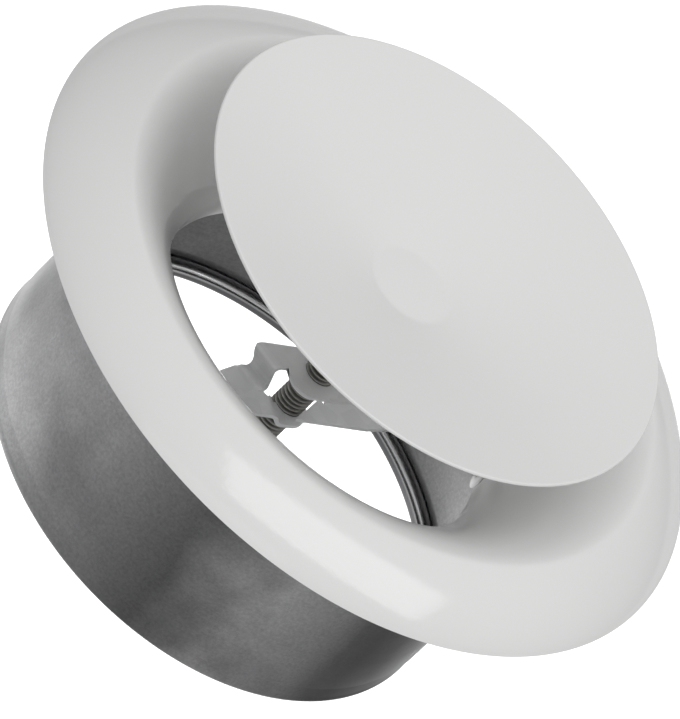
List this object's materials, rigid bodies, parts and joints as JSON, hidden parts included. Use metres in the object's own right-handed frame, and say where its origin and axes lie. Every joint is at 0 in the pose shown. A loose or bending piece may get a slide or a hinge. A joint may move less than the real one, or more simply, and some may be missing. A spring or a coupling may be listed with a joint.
{
  "type": "disc valve",
  "caption": "Round sheet-metal exhaust disc valve: bell-mouth ring, dished disc on a threaded spindle, slit bridge and galvanised mounting collar.",
  "frame": {"origin": "centre of the collar's rear rim, on the valve axis", "axes": "+Z along the valve axis from the duct to the disc; X along the bridge"},
  "size_m": [0.142, 0.142, 0.0726],
  "materials": {
    "galvanised_collar": "mottled galvanised",
    "white_ring": "satin white",
    "foam": "matt foam",
    "galvanised_bridge": "smooth zinc",
    "rivets": "satin",
    "springs": "bright spring steel",
    "fibre": "matt",
    "white_disc": "satin white",
    "nut": "zinc",
    "spindle": "dark threaded steel"
  },
  "bodies": {
    "collar": {"mounting_collar": "galvanised_collar"},
    "insert": {"flange_ring": "white_ring", "foam_gasket": "foam", "bridge": "galvanised_bridge", "bridge_rivets": "rivets", "retaining_spring_1": "springs", "retaining_spring_2": "springs", "retaining_spring_3": "springs", "spring_rivets": "rivets"},
    "travel_washer": {"backing_washer": "fibre"},
    "disc_assembly": {"disc": "white_disc", "weld_nut": "nut", "spindle": "spindle"}
  },
  "joints": [
    {"name": "insert_pull", "type": "slide", "parent": "collar", "child": "insert", "axis": [0, 0, 1], "range_m": [0, 0.022]},
    {"name": "disc_travel", "type": "slide", "parent": "insert", "child": "travel_washer", "axis": [0, 0, 1], "range_m": [-0.015, 0.008]},
    {"name": "disc_turn", "type": "hinge", "parent": "travel_washer", "child": "disc_assembly", "pos_m": [0, 0, 0.06], "axis": [0, 0, 1], "range_deg": [-5400, 2880]}
  ],
  "couplings": [
    {"joint": "disc_travel", "follows": "disc_turn", "m_per_rad": 0.00015915}
  ]
}
